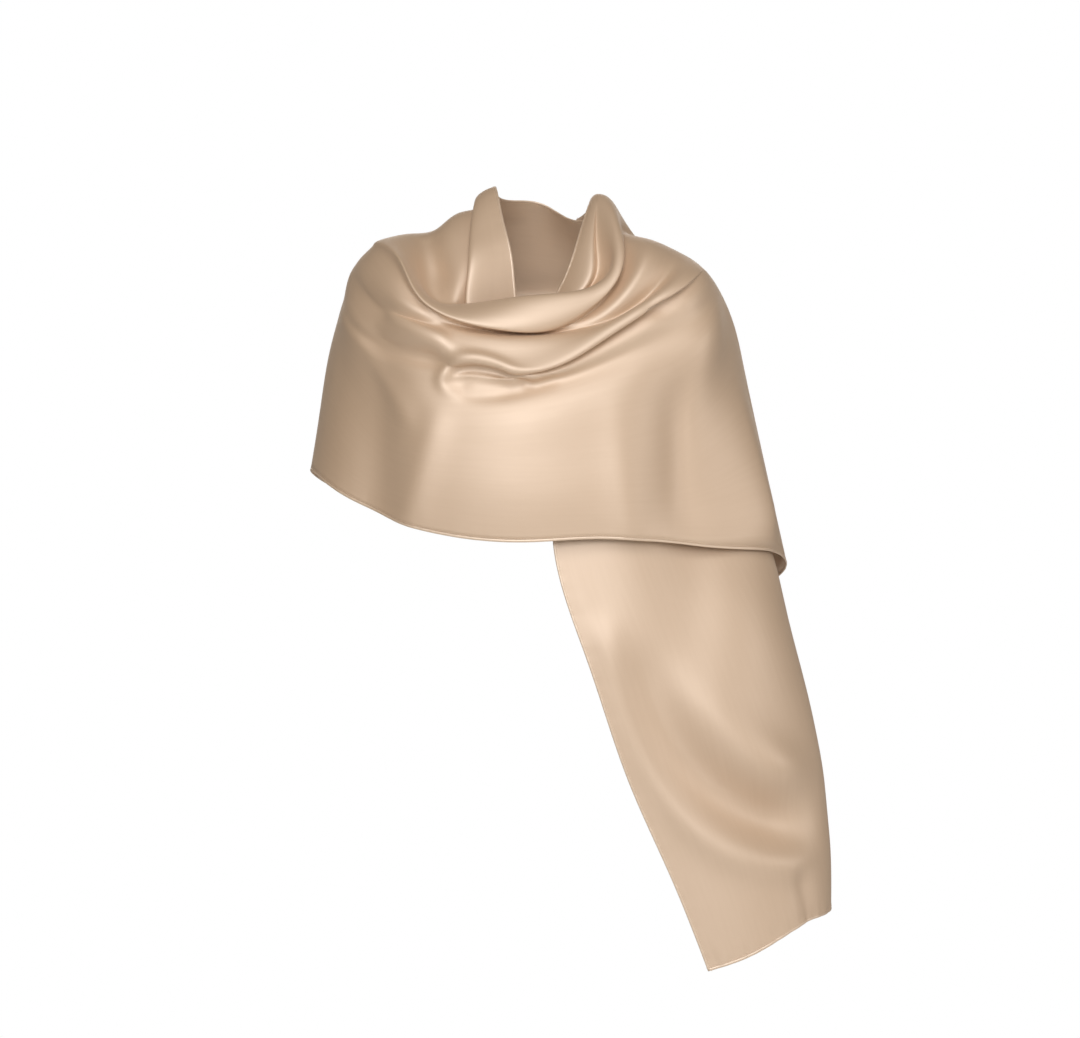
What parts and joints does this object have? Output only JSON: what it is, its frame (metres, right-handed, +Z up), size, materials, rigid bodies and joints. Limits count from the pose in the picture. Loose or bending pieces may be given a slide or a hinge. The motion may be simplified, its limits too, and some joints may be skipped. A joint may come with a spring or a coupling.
{
  "type": "evening stole",
  "caption": "Long satin evening stole, draped over both shoulders with a cowl at the neck, one end hanging in front over the left arm.",
  "frame": {"origin": "middle of the neck base on the shoulder line, where the wearer's shoulders hold the stole", "axes": "+Z up, -Y to the wearer's front, +X to the wearer's left"},
  "size_m": [0.5385, 0.2826, 0.7964],
  "materials": {
    "satin": "champagne satin with a soft broad sheen and a fine weave",
    "hem": "narrow rolled and stitched hem of the same satin"
  },
  "bodies": {
    "root": {"back": "satin", "front_wrap": "satin", "back_fall": "satin", "front_fall": "satin"}
  },
  "joints": []
}
